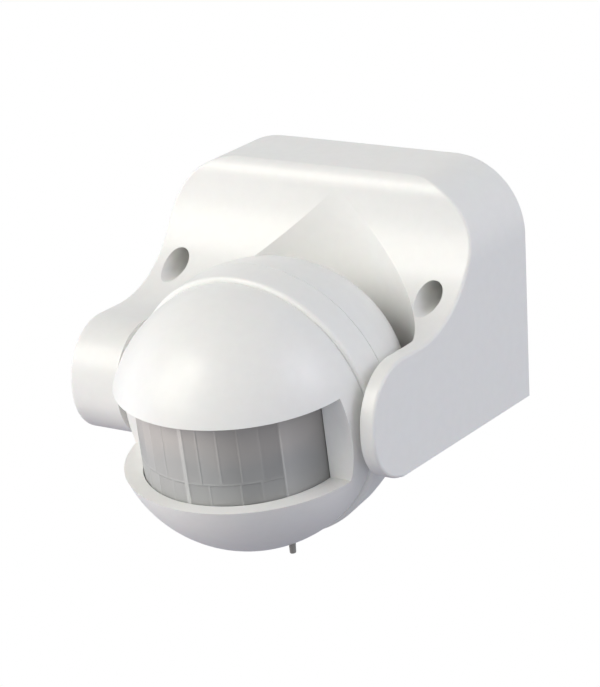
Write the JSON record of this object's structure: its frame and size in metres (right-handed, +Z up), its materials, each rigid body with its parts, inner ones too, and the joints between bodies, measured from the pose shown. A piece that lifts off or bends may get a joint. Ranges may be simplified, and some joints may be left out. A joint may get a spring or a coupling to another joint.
{
  "type": "wall-mounted motion sensor",
  "caption": "Wall-mounted passive infrared motion sensor: hood-shaped housing with two arms and a tilting ball head with a curved segmented lens and setting dials underneath.",
  "frame": {"origin": "centre of the wall face, at half the housing's width and half its height", "axes": "+Y into the wall, -Y the way the sensor looks, +X to the right seen from the front, +Z up"},
  "size_m": [0.076, 0.0859, 0.0703],
  "materials": {
    "white_shell": "fine satin moulded ABS",
    "inner_shell": "satin moulded ABS",
    "lens": "translucent moulded polyethylene",
    "lens_frame": "matt moulded plastic",
    "dial": "matt moulded plastic",
    "seal": "matt silicone rubber",
    "terminal_plastic": "moulded polyamide",
    "brass": "plain brass",
    "zinc_screw": "zinc-plated steel",
    "spring_steel": "spring steel",
    "nylon": "natural nylon",
    "lead_line": "PVC insulation, brown",
    "lead_neutral": "PVC insulation, blue",
    "lead_switched": "PVC insulation, red",
    "board": "green solder mask on glass-fibre laminate",
    "board_plastic": "black moulded plastic",
    "can_metal": "nickel-plated can",
    "filter": "dark infrared filter",
    "photocell": "ceramic disc with a clear coat",
    "led": "tinted epoxy",
    "relay": "moulded cover",
    "film_capacitor": "moulded box",
    "bulk_capacitor": "sleeved aluminium can",
    "resistor": "lacquered ceramic",
    "diode": "moulded epoxy",
    "pot": "phenolic and steel"
  },
  "bodies": {
    "base": {"housing": "white_shell", "wall_plate": "inner_shell", "plate_seal": "seal", "cable_grommet": "seal", "housing_screws": "zinc_screw", "terminal_block": "terminal_plastic", "terminal_cages": "brass", "terminal_screws": "zinc_screw", "cord_clamp": "nylon", "clamp_screws": "zinc_screw", "base_lead_line": "lead_line", "base_lead_neutral": "lead_neutral", "base_lead_switched": "lead_switched", "friction_washer": "nylon", "wave_washer": "spring_steel"},
    "head": {"retaining_ring": "spring_steel", "rear_shell": "white_shell", "shell_seal": "seal", "middle_ring": "white_shell", "front_cover": "white_shell", "lens": "lens", "lens_frame": "lens_frame", "pivot_tube": "inner_shell", "pivot_stub": "inner_shell", "shell_screws": "zinc_screw", "main_board": "board", "board_screws": "zinc_screw", "power_board": "board", "board_spacers": "nylon", "board_link": "board_plastic", "dial_board": "board", "dial_header": "board_plastic", "dial_pots": "pot", "pyro_sensor": "can_metal", "pyro_filter": "filter", "photocell": "photocell", "status_led": "led", "control_chip": "board_plastic", "relay": "relay", "film_capacitor": "film_capacitor", "bulk_capacitor": "bulk_capacitor", "diodes": "diode", "resistors": "resistor", "head_lead_line": "lead_line", "head_lead_neutral": "lead_neutral", "head_lead_switched": "lead_switched"},
    "range_dial": {"range_dial": "dial"},
    "time_dial": {"time_dial": "dial"},
    "light_dial": {"light_dial": "dial"}
  },
  "joints": [
    {"name": "head_tilt", "type": "hinge", "parent": "base", "child": "head", "pos_m": [0.0045, -0.0506, -0.0147], "axis": [1, 0, 0], "range_deg": [-27, 38]},
    {"name": "range_dial_turn", "type": "hinge", "parent": "head", "child": "range_dial", "pos_m": [-0.005, -0.05942, -0.04099], "axis": [0, 0.1236, -0.9923], "range_deg": [-135, 135]},
    {"name": "time_dial_turn", "type": "hinge", "parent": "head", "child": "time_dial", "pos_m": [0.0045, -0.05942, -0.04099], "axis": [0, 0.1236, -0.9923], "range_deg": [-135, 135]},
    {"name": "light_dial_turn", "type": "hinge", "parent": "head", "child": "light_dial", "pos_m": [0.014, -0.05942, -0.04099], "axis": [0, 0.1236, -0.9923], "range_deg": [-135, 135]}
  ]
}
